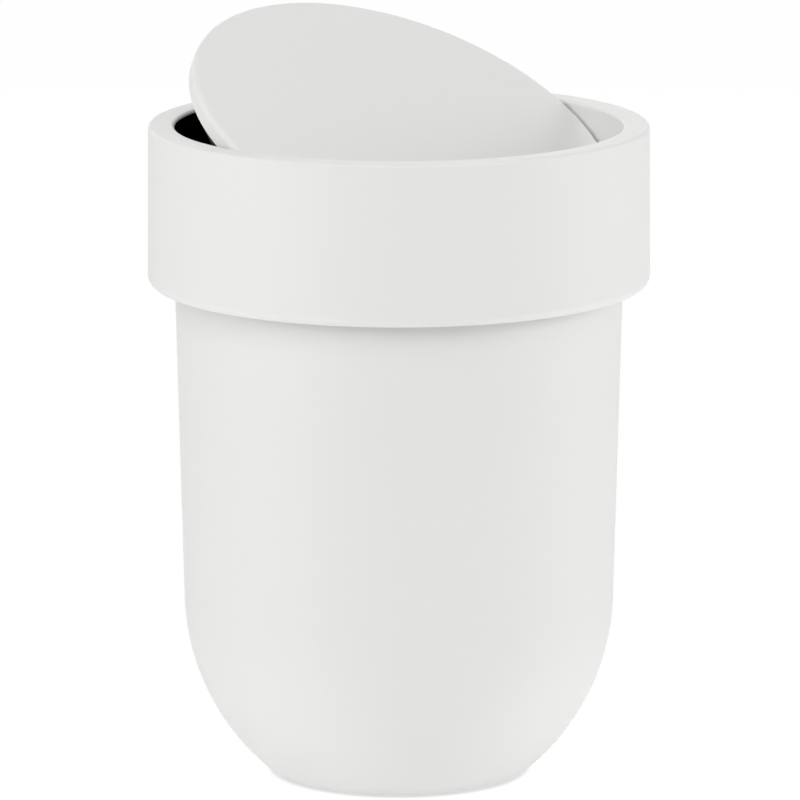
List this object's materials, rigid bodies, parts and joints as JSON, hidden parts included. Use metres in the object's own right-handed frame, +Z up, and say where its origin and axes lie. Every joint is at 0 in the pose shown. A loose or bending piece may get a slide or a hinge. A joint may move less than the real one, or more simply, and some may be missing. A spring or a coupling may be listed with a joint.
{
  "type": "countertop swing-lid trash can",
  "caption": "Small round countertop bin: tapered tub with a bowl-shaped foot, a deep lift-off collar and a weighted swing lid pivoted inside it.",
  "frame": {"origin": "middle of the footprint, on the surface that the bin stands on", "axes": "+Z up along the can's axis; +Y points away from the pictured front; the hinge axis lies level at 42.9 degrees from +X towards +Y"},
  "size_m": [0.1907, 0.1908, 0.2884],
  "materials": {
    "white_plastic": "fine matte, soft to the touch",
    "black_plastic": "matte moulded",
    "acetal": "smooth turned",
    "steel": "plated",
    "pad_rubber": "matte"
  },
  "bodies": {
    "can": {"can_body": "white_plastic", "foot_pad_front_left": "pad_rubber", "foot_pad_front_right": "pad_rubber", "foot_pad_back_left": "pad_rubber", "foot_pad_back_right": "pad_rubber"},
    "collar": {"collar_shell": "white_plastic", "pivot_ring": "black_plastic", "pivot_bush_left": "acetal", "pivot_bush_right": "acetal", "ring_screws": "steel"},
    "lid": {"lid_disc": "white_plastic", "lid_pan": "black_plastic", "pivot_pin_left": "steel", "pivot_pin_right": "steel", "counterweight": "steel", "counterweight_screws": "steel", "lid_screws": "steel"}
  },
  "joints": [
    {"name": "collar_lift", "type": "slide", "parent": "can", "child": "collar", "axis": [0, 0, 1], "range_m": [0, 0.1]},
    {"name": "lid_swing", "type": "hinge", "parent": "collar", "child": "lid", "pos_m": [0, 0, 0.2425], "axis": [0.7325, 0.6807, 0], "range_deg": [-103, 47]}
  ]
}
